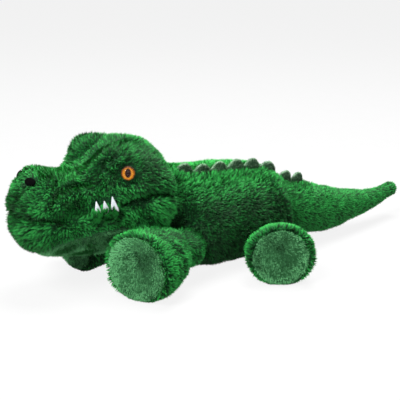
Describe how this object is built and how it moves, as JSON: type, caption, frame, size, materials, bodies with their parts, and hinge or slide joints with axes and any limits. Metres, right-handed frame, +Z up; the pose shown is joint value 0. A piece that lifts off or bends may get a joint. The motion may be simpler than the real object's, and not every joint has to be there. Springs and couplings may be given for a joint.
{
  "type": "plush crocodile",
  "caption": "Stuffed toy crocodile lying on its belly, with a long snout, felt back ridge, safety eyes, round velour soles and a tapering tail.",
  "frame": {"origin": "on the surface that the toy lies on, at the middle of the belly's resting patch (the belly_rest mount)", "axes": "+Z up, nose towards -Y, tail towards +Y, the toy's left side towards +X"},
  "size_m": [0.1812, 0.3828, 0.1099],
  "materials": {
    "plush": "long-pile polyester plush, bright green",
    "velour": "short-pile velour, grey-green",
    "felt": "felt, dark olive green with a paler cut edge",
    "white_felt": "white felt",
    "nostril": "black embroidered pad",
    "eye_backing": "moulded black plastic",
    "iris": "printed amber disc",
    "eye_dome": "clear acrylic dome",
    "washer": "moulded white lock washer"
  },
  "bodies": {
    "torso": {"body": "plush", "belly_panel": "velour", "back_ridge": "felt"},
    "head": {"head": "plush", "lower_jaw": "plush", "chin_panel": "velour", "eye_backing_left": "eye_backing", "eye_backing_right": "eye_backing", "eye_iris_left": "iris", "eye_iris_right": "iris", "eye_dome_left": "eye_dome", "eye_dome_right": "eye_dome", "eye_washer_left": "washer", "eye_washer_right": "washer", "nostril_left": "nostril", "nostril_right": "nostril", "tooth_left_front": "white_felt", "tooth_left_middle": "white_felt", "tooth_left_rear": "white_felt", "tooth_right_front": "white_felt", "tooth_right_middle": "white_felt", "tooth_right_rear": "white_felt"},
    "tail": {"tail": "plush", "tail_ridge": "felt"},
    "front_leg_left": {"front_leg_left": "plush", "front_sole_left": "velour"},
    "front_leg_right": {"front_leg_right": "plush", "front_sole_right": "velour"},
    "rear_leg_left": {"rear_leg_left": "plush", "rear_sole_left": "velour"},
    "rear_leg_right": {"rear_leg_right": "plush", "rear_sole_right": "velour"}
  },
  "joints": [
    {"name": "head_lift", "type": "hinge", "parent": "torso", "child": "head", "pos_m": [0, -0.048, 0.057], "axis": [-1, 0, 0], "range_deg": [0, 15], "stiffness_Nm_per_rad": 0.02},
    {"name": "tail_swing", "type": "hinge", "parent": "torso", "child": "tail", "pos_m": [0, 0.052, 0.039], "axis": [0, 0, 1], "range_deg": [-12, 12], "stiffness_Nm_per_rad": 0.02},
    {"name": "front_leg_left_swing", "type": "hinge", "parent": "torso", "child": "front_leg_left", "pos_m": [0.03, -0.045, 0.0265], "axis": [0, 0, 1], "range_deg": [-2, 24], "stiffness_Nm_per_rad": 0.02},
    {"name": "front_leg_right_swing", "type": "hinge", "parent": "torso", "child": "front_leg_right", "pos_m": [-0.03, -0.055, 0.0265], "axis": [0, 0, -1], "range_deg": [0, 24], "stiffness_Nm_per_rad": 0.02},
    {"name": "rear_leg_left_swing", "type": "hinge", "parent": "torso", "child": "rear_leg_left", "pos_m": [0.041, 0.031, 0.0185], "axis": [0, 0, 1], "range_deg": [-10, 20], "stiffness_Nm_per_rad": 0.02},
    {"name": "rear_leg_right_swing", "type": "hinge", "parent": "torso", "child": "rear_leg_right", "pos_m": [-0.041, 0.031, 0.0185], "axis": [0, 0, -1], "range_deg": [-10, 20], "stiffness_Nm_per_rad": 0.02}
  ]
}
